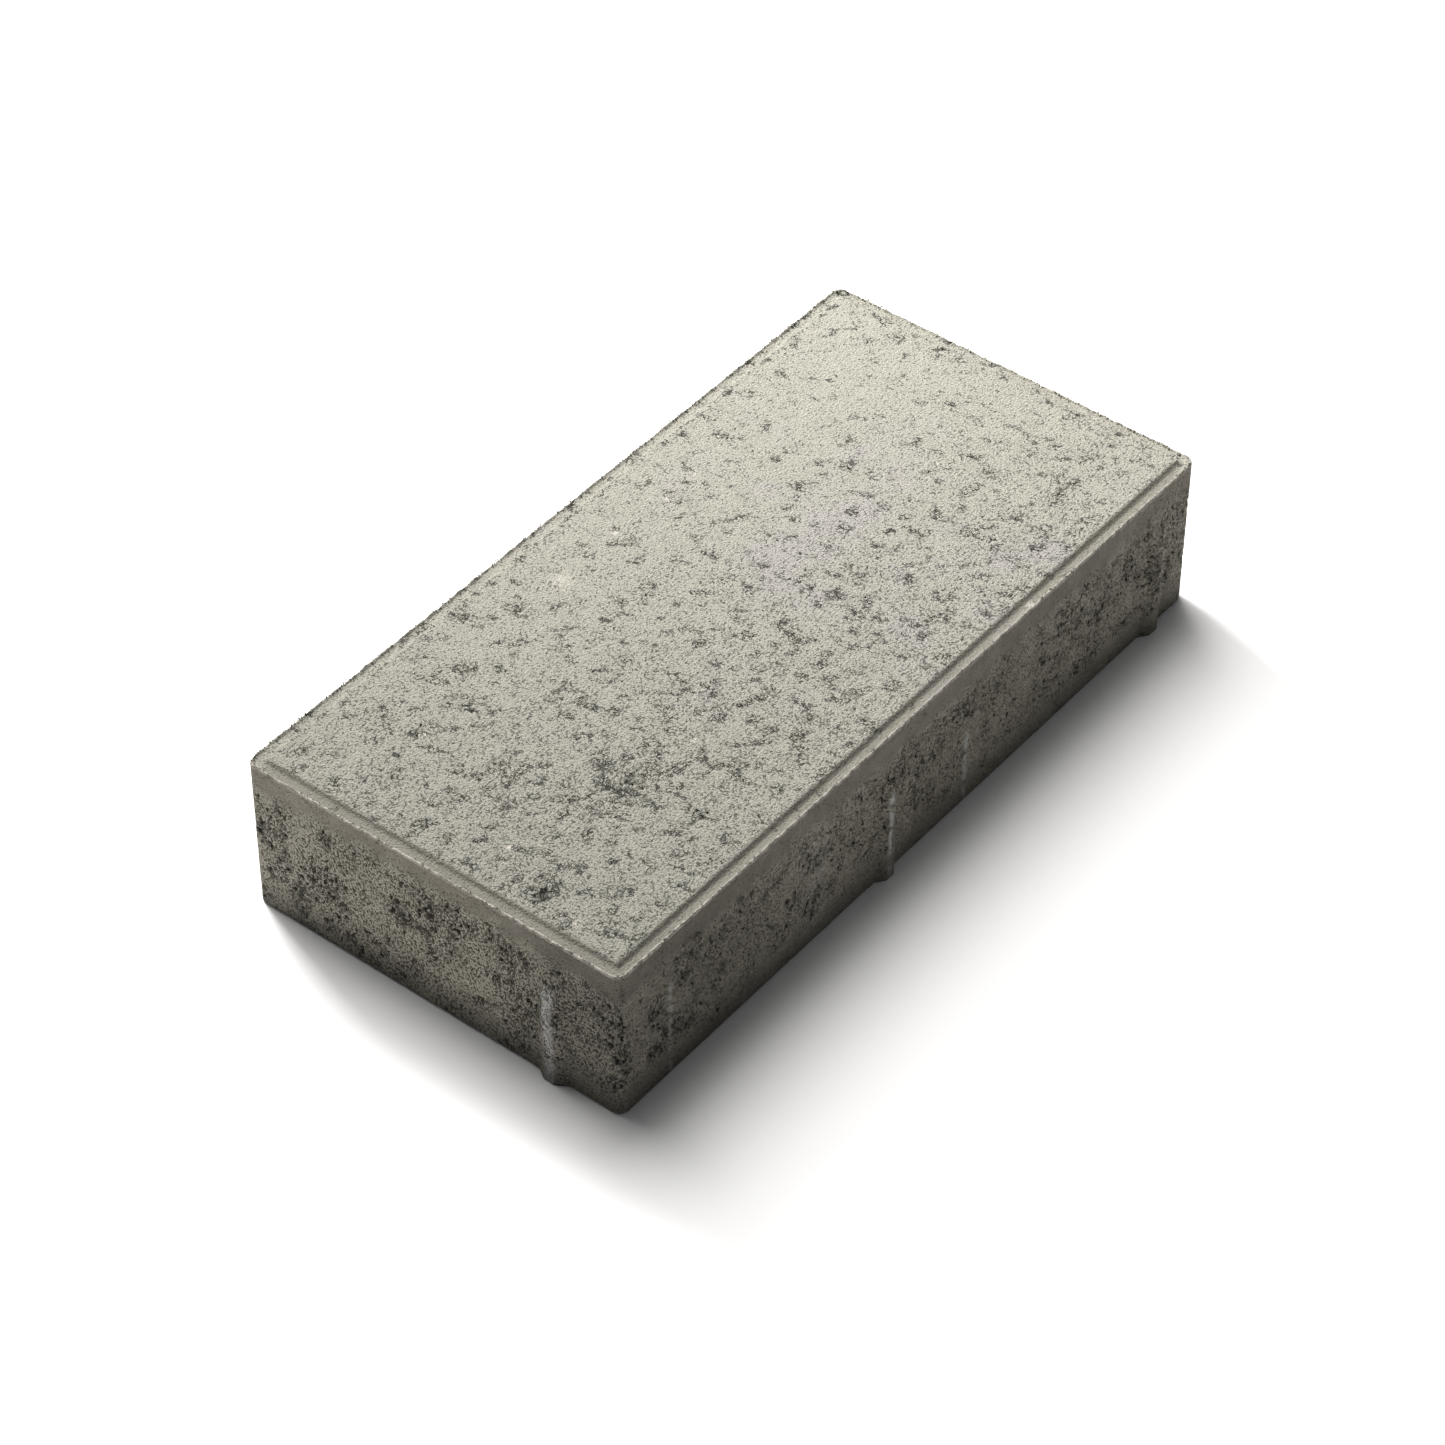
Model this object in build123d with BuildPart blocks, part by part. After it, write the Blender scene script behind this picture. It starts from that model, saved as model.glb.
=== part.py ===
from build123d import *
import os
from math import cos, radians, sin

# Rectangular concrete paving block, pressed in two layers: a coarse backing and a fine facing.
# Millimetres. X runs along the block, Y across it and Z up. The origin is the middle of the bed face.

# Laying grid that the block fills, with the joint that its lugs keep open
grid_length = 200.0
grid_width = 100.0
joint_gap = 3.0
block_height = 40.0

# Body inside the lugs
body_length = grid_length - joint_gap
body_width = grid_width - joint_gap
corner_radius = 3.0
bed_chamfer = 0.5

# Facing concrete: thinner in the middle, because the backing is struck off with a slight crown,
# which starts a little way in from the long sides
facing_at_sides = 6.0
facing_in_middle = 4.8
crown_inset = 4.0

# Stepped rim round the wearing face, pressed by the tamper head
rim_width = 3.2
ledge_depth = 0.95
shoulder_run = 0.6
arris_width = 0.55
arris_height = 0.55
arris_round = 0.2

# Spacer lugs on the four sides
lug_reach = joint_gap / 2
lug_foot = 8.0
lug_land = 2.4
lug_belly = 0.12
lug_full_height = 24.0
lug_top = 33.0

backing_at_sides = block_height - facing_at_sides
backing_in_middle = block_height - facing_in_middle
crown_half_width = body_width / 2 - crown_inset
ledge_level = block_height - ledge_depth
rim_inner_length = body_length - 2 * rim_width
rim_inner_width = body_width - 2 * rim_width

# Lug places, as the way each one faces (degrees about Z) and how far it stands
# to the right of its side's middle for someone looking at that side.
# The layout turns onto itself by half a turn, so a block can be laid either way round.
lug_places = {
    "spacer_lug_front_mid": (-90, -13.0),
    "spacer_lug_front_right": (-90, 85.0),
    "spacer_lug_back_mid": (90, -13.0),
    "spacer_lug_back_left": (90, 85.0),
    "spacer_lug_left_end": (180, 31.0),
    "spacer_lug_right_end": (0, 31.0),
}

os.makedirs("parts", exist_ok=True)


# Cross-section of the backing, with its crowned top
with BuildSketch(Plane.YZ) as backing_section:
    with BuildLine():
        ThreePointArc(
            (-crown_half_width, backing_at_sides),
            (0, backing_in_middle),
            (crown_half_width, backing_at_sides),
        )
        Polyline(
            (crown_half_width, backing_at_sides),
            (body_width / 2, backing_at_sides),
            (body_width / 2, 0),
            (-body_width / 2, 0),
            (-body_width / 2, backing_at_sides),
            (-crown_half_width, backing_at_sides),
        )
    make_face()


# Backing concrete: the body of the block, from the bed face to the crowned bond line
with BuildPart() as core_block:
    with BuildSketch():
        RectangleRounded(body_length, body_width, corner_radius)
    extrude(amount=block_height)
    extrude(to_extrude=backing_section.sketch, amount=body_length, both=True, mode=Mode.INTERSECT)
    bed_edges = core_block.faces().sort_by(Axis.Z)[0].edges()
    chamfer(bed_edges, length=bed_chamfer)

core_block.part.label = "core_block"
export_step(core_block.part, "parts/core_block.step")


# Facing concrete: sits on the crown and carries the stepped rim and the wearing face
with BuildPart() as face_layer:
    with BuildSketch():
        RectangleRounded(body_length, body_width, corner_radius)
    extrude(amount=ledge_level)
    extrude(to_extrude=backing_section.sketch, amount=body_length, both=True, mode=Mode.SUBTRACT)

    # Raised arris that is left standing along the outer edge of the ledge
    with BuildSketch(Plane.XY.offset(ledge_level)):
        RectangleRounded(body_length, body_width, corner_radius)
        offset(amount=-arris_width, mode=Mode.SUBTRACT)
    extrude(amount=arris_height)
    arris_top = face_layer.faces().sort_by(Axis.Z)[-1]
    fillet(arris_top.edges(), radius=arris_round)

    # Wearing face, whose shoulder leans in over the last stretch of the rim
    with BuildSketch(Plane.XY.offset(ledge_level)) as field_foot:
        foot_length = rim_inner_length + 2 * shoulder_run
        foot_width = rim_inner_width + 2 * shoulder_run
        RectangleRounded(foot_length, foot_width, corner_radius)
    with BuildSketch(Plane.XY.offset(block_height)) as field_head:
        RectangleRounded(rim_inner_length, rim_inner_width, corner_radius - shoulder_run)
    loft()

face_layer.part.label = "face_layer"
export_step(face_layer.part, "parts/face_layer.step")


# Spacer lugs: ribs with a flat crest land, fading into the side below the facing
for name, (facing, along) in lug_places.items():
    outward = Vector(cos(radians(facing)), sin(radians(facing)))
    rightward = Vector(-outward.Y, outward.X)
    wall_distance = body_length / 2 if abs(outward.X) > 0.5 else body_width / 2
    root = outward * wall_distance + rightward * along
    plan = Plane(origin=root, x_dir=-rightward, z_dir=(0, 0, 1))
    side = Plane(origin=root, x_dir=outward, z_dir=-rightward)

    with BuildPart() as lug:
        with BuildSketch(plan):
            with BuildLine():
                flank_middle = ((lug_foot + lug_land) / 4 + lug_belly, lug_reach / 2 + lug_belly)
                ThreePointArc((lug_foot / 2, 0), flank_middle, (lug_land / 2, lug_reach))
                Line((lug_land / 2, lug_reach), (-lug_land / 2, lug_reach))
                mirrored_middle = (-flank_middle[0], flank_middle[1])
                ThreePointArc((-lug_land / 2, lug_reach), mirrored_middle, (-lug_foot / 2, 0))
                Line((-lug_foot / 2, 0), (lug_foot / 2, 0))
            make_face()
        extrude(amount=lug_top)

        # Slope from the full reach back to the side
        with BuildSketch(side):
            with BuildLine():
                Polyline(
                    (lug_reach, lug_full_height),
                    (0, lug_top),
                    (lug_reach, lug_top),
                    (lug_reach, lug_full_height),
                )
            make_face()
        extrude(amount=lug_foot, both=True, mode=Mode.SUBTRACT)

    lug.part.label = name
    export_step(lug.part, f"parts/{name}.step")
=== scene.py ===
import math
import bpy
import numpy as np
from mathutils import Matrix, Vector


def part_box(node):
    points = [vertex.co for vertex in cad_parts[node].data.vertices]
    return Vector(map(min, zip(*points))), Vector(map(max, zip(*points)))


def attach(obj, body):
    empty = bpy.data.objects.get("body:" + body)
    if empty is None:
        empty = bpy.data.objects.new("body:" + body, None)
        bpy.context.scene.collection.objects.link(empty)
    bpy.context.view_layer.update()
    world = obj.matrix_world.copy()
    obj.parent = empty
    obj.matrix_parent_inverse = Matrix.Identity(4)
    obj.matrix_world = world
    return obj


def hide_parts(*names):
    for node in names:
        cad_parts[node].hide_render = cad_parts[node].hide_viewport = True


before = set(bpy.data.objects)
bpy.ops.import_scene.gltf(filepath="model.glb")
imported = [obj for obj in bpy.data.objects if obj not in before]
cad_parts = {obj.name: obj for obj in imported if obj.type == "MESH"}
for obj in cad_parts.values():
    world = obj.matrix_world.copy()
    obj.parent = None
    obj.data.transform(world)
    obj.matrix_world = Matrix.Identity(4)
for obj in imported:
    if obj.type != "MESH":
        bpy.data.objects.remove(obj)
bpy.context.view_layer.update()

mm = 0.001
degree = math.pi / 180
tiny = 1e-9  # keeps a division by no distance at all from failing

faceLow, faceHigh = (np.array(corner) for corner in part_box("face_layer"))
coreHigh = np.array(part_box("core_block")[1])
halfLength, halfWidth = faceHigh[0], faceHigh[1]
blockTop = faceHigh[2]
bondAtSides = faceLow[2]    # the two concretes meet here along the long sides
bondInMiddle = coreHigh[2]  # and here at the crown

# The camera looks down on the block's front left corner
cameraView = {
    "place": (-557.79 * mm, -432.65 * mm, 677.32 * mm),
    "aim": (-13.71 * mm, -6.82 * mm, 20.0 * mm),
    "roll": 0.334,      # degrees
    "lens": 113.78,
    "sensor": 36.0,
    "nearest": 0.01,
    "farthest": 20.0,
}


def makeCamera(view):
    data = bpy.data.cameras.new("studioCamera")
    data.lens = view["lens"]
    data.sensor_width = view["sensor"]
    data.clip_start = view["nearest"]
    data.clip_end = view["farthest"]
    camera = bpy.data.objects.new("studioCamera", data)
    bpy.context.collection.objects.link(camera)
    camera.location = view["place"]
    look = Vector(view["aim"]) - Vector(view["place"])
    camera.rotation_euler = look.to_track_quat("-Z", "Y").to_euler()
    camera.rotation_euler.rotate_axis("Z", math.radians(view["roll"]))
    bpy.context.scene.camera = camera


studioLight = {
    "key": {"place": (0.17, 0.40, 1.0), "aim": (0, 0, 0), "size": (0.64, 0.74), "power": 16.0,
            "color": (1.0, 0.99, 0.97)},
    "rim": {"place": (0.15, 0.54, 0.50), "aim": (0.02, 0, 0.04), "size": (0.2, 0.2), "power": 7.0,
            "color": (1.0, 0.97, 0.96)},
    "skyColor": (0.97, 0.98, 1.0),
    "skyStrength": 0.13,
    "floorTone": (0.92, 0.92, 0.92),
    "floorRoughness": 0.9,
    "floorSize": 6.0,
    "floorDrop": 0.05 * mm,  # keeps the floor clear of the bed
}


def makeSoftbox(name, box):
    data = bpy.data.lights.new(name, "AREA")
    data.shape = "RECTANGLE"
    data.size, data.size_y = box["size"]
    data.energy = box["power"]
    data.color = box["color"]
    softbox = bpy.data.objects.new(name, data)
    bpy.context.collection.objects.link(softbox)
    softbox.location = box["place"]
    look = Vector(box["aim"]) - Vector(box["place"])
    softbox.rotation_euler = look.to_track_quat("-Z", "Y").to_euler()


def makeStudio(light):
    makeSoftbox("softKey", light["key"])
    makeSoftbox("softRim", light["rim"])

    world = bpy.data.worlds.new("paleRoom")
    bpy.context.scene.world = world
    world.use_nodes = True
    sky = world.node_tree.nodes["Background"]
    sky.inputs["Color"].default_value = (*light["skyColor"], 1)
    sky.inputs["Strength"].default_value = light["skyStrength"]

    half = light["floorSize"] / 2
    drop = -light["floorDrop"]
    corners = [(-half, -half, drop), (half, -half, drop), (half, half, drop), (-half, half, drop)]
    mesh = bpy.data.meshes.new("studioFloor")
    mesh.from_pydata(corners, [], [(0, 1, 2, 3)])
    floor = bpy.data.objects.new("studioFloor", mesh)
    bpy.context.collection.objects.link(floor)
    paper = bpy.data.materials.new("palePaper")
    paper.use_nodes = True
    shader = paper.node_tree.nodes["Principled BSDF"]
    shader.inputs["Base Color"].default_value = (*light["floorTone"], 1)
    shader.inputs["Roughness"].default_value = light["floorRoughness"]
    shader.inputs["Specular IOR Level"].default_value = 0.0
    mesh.materials.append(paper)


bpy.context.scene.view_settings.view_transform = "Standard"
makeCamera(cameraView)
makeStudio(studioLight)
print("studio ready")


def addNode(tree, kind, feeds=None, **settings):
    # feeds are put on the inputs by name or number: a socket is linked, anything else is a value
    made = tree.nodes.new(kind)
    for name, value in settings.items():
        setattr(made, name, value)
    for name, value in (feeds or {}).items():
        feed(tree, made.inputs[name], value)
    return made


def feed(tree, socket, value):
    if isinstance(value, bpy.types.NodeSocket):
        tree.links.new(value, socket)
    else:
        socket.default_value = value


def reckon(tree, operation, *values, clamp=False):
    made = addNode(tree, "ShaderNodeMath", dict(enumerate(values)), operation=operation, use_clamp=clamp)
    return made.outputs[0]


def steer(tree, operation, first, second):
    made = addNode(tree, "ShaderNodeVectorMath", {0: first, 1: second}, operation=operation)
    return made.outputs["Vector"]


def noiseOf(tree, place, size, detail=2.0, roughness=0.5, distortion=0.0):
    # size is the width of the pattern's coarsest lumps
    scale = reckon(tree, "DIVIDE", 1.0, size)
    feeds = {"Vector": place, "Scale": scale, "Detail": detail, "Roughness": roughness,
             "Distortion": distortion}
    return addNode(tree, "ShaderNodeTexNoise", feeds, noise_dimensions="3D").outputs[0]


def swingOf(tree, place, size, detail=2.0, roughness=0.5):
    # the same noise about zero
    return reckon(tree, "SUBTRACT", noiseOf(tree, place, size, detail, roughness), 0.5)


def ramp(tree, value, low, high, start=0.0, end=1.0, kind="SMOOTHSTEP"):
    feeds = {"Value": value, "From Min": low, "From Max": high, "To Min": start, "To Max": end}
    return addNode(tree, "ShaderNodeMapRange", feeds, interpolation_type=kind).outputs[0]


def rise(tree, value, low, reach, kind="SMOOTHSTEP"):
    return ramp(tree, value, low, reckon(tree, "ADD", low, reach), kind=kind)


def scaled(tree, vector, factor):
    feeds = {0: vector, "Scale": factor}
    return addNode(tree, "ShaderNodeVectorMath", feeds, operation="SCALE").outputs[0]


def blend(tree, share, first, second):
    return addNode(tree, "ShaderNodeMix", {0: share, 2: first, 3: second}).outputs[0]


def blendColor(tree, share, first, second):
    feeds = {0: share, 6: first, 7: second}
    return addNode(tree, "ShaderNodeMix", feeds, data_type="RGBA").outputs[2]


def upward(tree, height):
    return addNode(tree, "ShaderNodeCombineXYZ", {"Z": height}).outputs[0]


def nameSockets(tree, inputs, outputs):
    for name, (kind, value) in inputs.items():
        socket = tree.interface.new_socket(name, in_out="INPUT", socket_type=kind)
        if value is not None:
            socket.default_value = value
    for name, kind in outputs.items():
        tree.interface.new_socket(name, in_out="OUTPUT", socket_type=kind)


def startTree(name, inputs):
    # geometry comes in first, and the concrete for the finished mesh comes last
    tree = bpy.data.node_groups.new(name, "GeometryNodeTree")
    sockets = {"Geometry": ("NodeSocketGeometry", None), **inputs, "Concrete": ("NodeSocketMaterial", None)}
    nameSockets(tree, sockets, {"Geometry": "NodeSocketGeometry"})
    return tree, addNode(tree, "NodeGroupInput").outputs


def endTree(tree, mesh, concrete, smooth=False):
    plain = addNode(tree, "GeometryNodeRealizeInstances", {0: mesh}).outputs[0]
    if smooth:
        plain = addNode(tree, "GeometryNodeSetShadeSmooth", {0: plain}).outputs[0]
    done = addNode(tree, "GeometryNodeSetMaterial", {"Geometry": plain, "Material": concrete}).outputs[0]
    addNode(tree, "NodeGroupOutput", {"Geometry": done})


def floatSockets(sizes):
    return {name: ("NodeSocketFloat", size) for name, size in sizes.items()}


# How the concrete's pores lie, for its relief and its colour alike. Pits open where fractal noise
# rises past a level, which falls inside clusters and marks and rises where the skin is calm.
# Specks are the same at the size of the sand. Cracks run along the middle line of another noise,
# wherever a coarser one says that the skin is loose. Turn and Drag draw the pits and cracks out
# along one direction, and Shift keeps the sides' pattern apart from the wearing face's.
wearingPores = {
    "Pore Size": 1.15 * mm,
    "Speck Size": 0.55 * mm,
    "Cluster Size": 5.0 * mm,
    "Cluster Pull": 0.2,
    "Opens At": 0.65,
    "Edge Softness": 0.03,
    "Specks At": 0.56,
    "Speck Softness": 0.12,
    "Crack Size": 1.4 * mm,
    "Crack Width": 0.04,
    "Cracks From": 0.525,
    "Turn": 52.0 * degree,
    "Drag": (0.75, 1.0, 1.0),
    "Shift": (0.0, 0.0, 0.0),
}
wallPores = {
    "Pore Size": 1.25 * mm,
    "Speck Size": 0.6 * mm,
    "Cluster Size": 8.0 * mm,
    "Cluster Pull": 0.25,
    "Opens At": 0.60,
    "Edge Softness": 0.06,
    "Specks At": 0.50,
    "Speck Softness": 0.16,
    "Crack Size": 2.0 * mm,
    "Crack Width": 0.045,
    "Cracks From": 0.53,
    "Turn": 0.0,
    "Drag": (1.0, 1.0, 0.8),
    "Shift": (0.31, 0.17, 0.05),
}
poreRule = {
    "calmPull": 0.14,    # how far a calm skin closes its pores
    "markPull": 0.3,     # how far a torn spot opens them
    "sandPull": 0.7,     # the specks feel this share of both
    "looseSize": 2.0,    # loose skin comes in patches, in crack sizes
    "crackReach": 0.08,  # how soon a crack is fully open in loose skin
}


def poreField(tree, place, marks, calm, given):
    turned = addNode(tree, "ShaderNodeVectorRotate", {"Vector": place, "Angle": given["Turn"]},
                     rotation_type="Z_AXIS").outputs[0]
    moved = steer(tree, "ADD", steer(tree, "MULTIPLY", turned, given["Drag"]), given["Shift"])
    cluster = swingOf(tree, place, given["Cluster Size"], 2.0, 0.6)
    pull = reckon(tree, "MULTIPLY", cluster, given["Cluster Pull"])
    pull = reckon(tree, "SUBTRACT", pull, reckon(tree, "MULTIPLY", calm, poreRule["calmPull"]))
    pull = reckon(tree, "ADD", pull, reckon(tree, "MULTIPLY", marks, poreRule["markPull"]))

    level = reckon(tree, "ADD", noiseOf(tree, moved, given["Pore Size"], 4.0, 0.62, 0.3), pull)
    pits = rise(tree, level, given["Opens At"], given["Edge Softness"])

    run = reckon(tree, "ABSOLUTE", swingOf(tree, moved, given["Crack Size"], 3.0, 0.6))
    line = ramp(tree, run, 0.0, given["Crack Width"], 1.0, 0.0, "LINEAR")
    looseSize = reckon(tree, "MULTIPLY", given["Crack Size"], poreRule["looseSize"])
    loose = reckon(tree, "ADD", noiseOf(tree, moved, looseSize, 3.0, 0.6), pull)
    near = rise(tree, loose, given["Cracks From"], poreRule["crackReach"])
    torn = reckon(tree, "MAXIMUM", pits, reckon(tree, "MULTIPLY", line, near))

    sand = noiseOf(tree, place, given["Speck Size"], 3.0, 0.7)
    sand = reckon(tree, "ADD", sand, reckon(tree, "MULTIPLY", pull, poreRule["sandPull"]))
    specks = rise(tree, sand, given["Specks At"], given["Speck Softness"], "LINEAR")
    return torn, specks


def poreSockets(pores, prefix=""):
    kinds = {}
    for name, value in pores.items():
        kind = "NodeSocketVector" if isinstance(value, tuple) else "NodeSocketFloat"
        kinds[prefix + name] = (kind, value)
    return kinds


# The relief that every cast piece goes through. Mark Depth is how many times deeper a torn spot is.
reliefSizes = {
    "Wearing Depth": 0.42 * mm,
    "Wall Depth": 0.5 * mm,
    "Speck Depth": 0.16 * mm,
    "Mark Depth": 2.6,
    "Swell Size": 7.0 * mm,
    "Swell Height": 0.16 * mm,
    "Grain Size": 1.3 * mm,
    "Grain Height": 0.12 * mm,
    "Arris Wander": 1.5 * mm,
    "Arris Bite": 2.6 * mm,
}
calmSmooths = 0.6  # how much of its grain a calm skin loses
biteLevel = 0.56   # above it the arris stands proud, and below it is bitten away


def readAttribute(tree, name):
    made = addNode(tree, "GeometryNodeInputNamedAttribute", {"Name": name}, data_type="FLOAT")
    return made.outputs["Attribute"]


def sinkOf(tree, torn, specks, tornDepth, speckDepth):
    deep = reckon(tree, "MULTIPLY", torn, tornDepth)
    return reckon(tree, "ADD", deep, reckon(tree, "MULTIPLY", specks, speckDepth))


def makeReliefTree():
    inputs = {**floatSockets(reliefSizes), **poreSockets(wearingPores, "Wearing "),
              **poreSockets(wallPores, "Wall ")}
    tree, given = startTree("castRelief", inputs)
    place = addNode(tree, "GeometryNodeInputPosition").outputs[0]
    normal = addNode(tree, "GeometryNodeInputNormal").outputs[0]
    marks = readAttribute(tree, "marks")
    calm = readAttribute(tree, "calm")
    wall = readAttribute(tree, "wall")
    arris = readAttribute(tree, "arris")

    # the shader reads the place before the relief, so that its pores fall in the same spots
    kept = addNode(tree, "GeometryNodeStoreNamedAttribute",
                   {"Geometry": given["Geometry"], "Name": "castPlace", "Value": place},
                   data_type="FLOAT_VECTOR", domain="POINT").outputs[0]

    sinks = []
    for prefix in ("Wearing ", "Wall "):
        pores = {name: given[prefix + name] for name in wearingPores}
        torn, specks = poreField(tree, place, marks, calm, pores)
        sinks.append(sinkOf(tree, torn, specks, given[prefix + "Depth"], given["Speck Depth"]))
    sunk = blend(tree, wall, *sinks)
    deeper = reckon(tree, "ADD", 1.0, reckon(tree, "MULTIPLY", marks, given["Mark Depth"]))
    sunk = reckon(tree, "MULTIPLY", sunk, deeper)

    swell = swingOf(tree, place, given["Swell Size"], 1.0)
    grain = swingOf(tree, place, given["Grain Size"], 3.0, 0.6)
    rough = reckon(tree, "SUBTRACT", 1.0, reckon(tree, "MULTIPLY", calm, calmSmooths))
    lift = reckon(tree, "MULTIPLY", swell, given["Swell Height"])
    fine = reckon(tree, "MULTIPLY", reckon(tree, "MULTIPLY", grain, given["Grain Height"]), rough)
    lift = reckon(tree, "ADD", lift, fine)
    out = reckon(tree, "SUBTRACT", lift, sunk)

    # the sides are pushed level, so that the two concretes stay flush where they meet
    level = steer(tree, "NORMALIZE", steer(tree, "MULTIPLY", normal, (1.0, 1.0, 0.0)), (0, 0, 0))
    away = addNode(tree, "ShaderNodeMix", {0: wall, 4: normal, 5: level}, data_type="VECTOR").outputs[1]
    pushed = scaled(tree, away, out)
    bite = reckon(tree, "SUBTRACT", noiseOf(tree, place, given["Arris Bite"], 3.0, 0.65), biteLevel)
    bite = reckon(tree, "MULTIPLY", reckon(tree, "MULTIPLY", bite, given["Arris Wander"]), arris)
    offset = steer(tree, "ADD", pushed, upward(tree, bite))
    moved = addNode(tree, "GeometryNodeSetPosition", {"Geometry": kept, "Offset": offset}).outputs[0]
    endTree(tree, moved, given["Concrete"])
    return tree


def bakeTree(base, tree, values):
    # runs a tree on an object and leaves a plain mesh in its place
    modifier = base.modifiers.new(tree.name, "NODES")
    modifier.node_group = tree
    identifiers = {item.name: item.identifier for item in tree.interface.items_tree
                   if item.item_type == "SOCKET" and item.in_out == "INPUT"}
    for name, value in values.items():
        modifier[identifiers[name]] = value
    depsgraph = bpy.context.evaluated_depsgraph_get()
    mesh = bpy.data.meshes.new_from_object(base.evaluated_get(depsgraph))
    base.modifiers.remove(modifier)
    spare = base.data
    base.data = mesh
    bpy.data.meshes.remove(spare)
    mesh.name = base.name
    return base


# The shells: the block's outline cut into grids and rings
shellCut = {
    "pitch": 0.5 * mm,
    "wallPitch": 0.56 * mm,
    "cornerRadius": 2.4 * mm,
    # the stepped rim: how far in from the side, and how far below the wearing face
    "rim": ((0.0, 0.85), (0.1, 0.55), (0.24, 0.42), (0.40, 0.50), (0.58, 0.78), (0.85, 0.92), (1.4, 0.95),
            (2.0, 0.95), (2.4, 0.90), (2.7, 0.62), (2.95, 0.27), (3.25, 0.06), (3.6, 0.0), (4.0, 0.0)),
    # the bed's worn edge: height, and how far in
    "bedEdge": ((0.7, 0.0), (0.3, 0.07), (0.08, 0.25), (0.0, 0.55)),
    "bedInset": 1.2 * mm,
    "bondRow": 0.04 * mm,    # a close row keeps the shading straight up to the bond
    "crownInset": 4.0 * mm,  # the crown starts this far in from the long sides
}


def cutLines(halfSpan, cut):
    steps = np.array([step for step, _ in cut["rim"]]) * mm
    inner = halfSpan - steps[-1]
    middle = np.linspace(-inner, inner, 2 * int(round(inner / cut["pitch"])) + 1)
    edge = halfSpan - steps[:-1]
    return np.concatenate([-edge, middle, edge[::-1]])


def roundCorners(x, y, halfX, halfY, radius):
    # bends the square corners of a grid into quarter discs
    ax = np.clip((np.abs(x) - (halfX - radius)) / radius, 0, 1)
    ay = np.clip((np.abs(y) - (halfY - radius)) / radius, 0, 1)
    inCorner = (ax > 0) & (ay > 0)
    bentX = np.sign(x) * (halfX - radius + radius * ax * np.sqrt(1 - ay ** 2 / 2))
    bentY = np.sign(y) * (halfY - radius + radius * ay * np.sqrt(1 - ax ** 2 / 2))
    return np.where(inCorner, bentX, x), np.where(inCorner, bentY, y)


def inFromSide(x, y, radius):
    # how far a point lies in from the block's rounded outline
    ax = np.abs(x) - (halfLength - radius)
    ay = np.abs(y) - (halfWidth - radius)
    straight = np.minimum(radius - ax, radius - ay)
    corner = radius - np.hypot(np.maximum(ax, 0), np.maximum(ay, 0))
    return np.where((ax > 0) & (ay > 0), corner, straight)


def bondHeight(y):
    # where the two concretes meet, over a crown that starts a little way in from the long sides
    start = halfWidth - shellCut["crownInset"]
    crown = (bondInMiddle - bondAtSides) * (1 - (y / start) ** 2)
    return bondAtSides + np.maximum(crown, 0)


def ringOf(nx, ny):
    # the numbers of a grid's outer points, anticlockwise from its low corner
    front = [i for i in range(nx)]
    right = [nx - 1 + j * nx for j in range(1, ny)]
    back = [i + (ny - 1) * nx for i in range(nx - 2, -1, -1)]
    left = [j * nx for j in range(ny - 2, 0, -1)]
    return np.array(front + right + back + left)


def gridFaces(nx, ny, first=0, up=True):
    i, j = np.meshgrid(np.arange(nx - 1), np.arange(ny - 1))
    a = (first + i + j * nx).ravel()
    quads = np.stack([a, a + 1, a + 1 + nx, a + nx], axis=1)
    return (quads if up else quads[:, ::-1]).tolist()


def ringFaces(upper, lower):
    nextUpper, nextLower = np.roll(upper, -1), np.roll(lower, -1)
    return np.stack([lower, nextLower, nextUpper, upper], axis=1).tolist()


def fanFaces(ring, centre, up):
    nextRing = np.roll(ring, -1)
    middle = np.full_like(ring, centre)
    fan = np.stack([ring, nextRing, middle], axis=1)
    return (fan if up else fan[:, ::-1]).tolist()


def outwardOf(x, y, radius):
    # the level direction away from the block at a point of its outline
    dx = x - np.clip(x, -(halfLength - radius), halfLength - radius)
    dy = y - np.clip(y, -(halfWidth - radius), halfWidth - radius)
    length = np.maximum(np.hypot(dx, dy), tiny)
    return dx / length, dy / length


def makeObject(name, points, faces):
    mesh = bpy.data.meshes.new(name)
    mesh.from_pydata(points.tolist(), [], faces)
    mesh.polygons.foreach_set("use_smooth", np.ones(len(faces), bool))
    made = bpy.data.objects.new(name, mesh)
    bpy.context.collection.objects.link(made)
    return made


def makeSeed(name):
    # one point, for a tree that makes its own mesh
    return makeObject(name, np.zeros((1, 3)), [])


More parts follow.
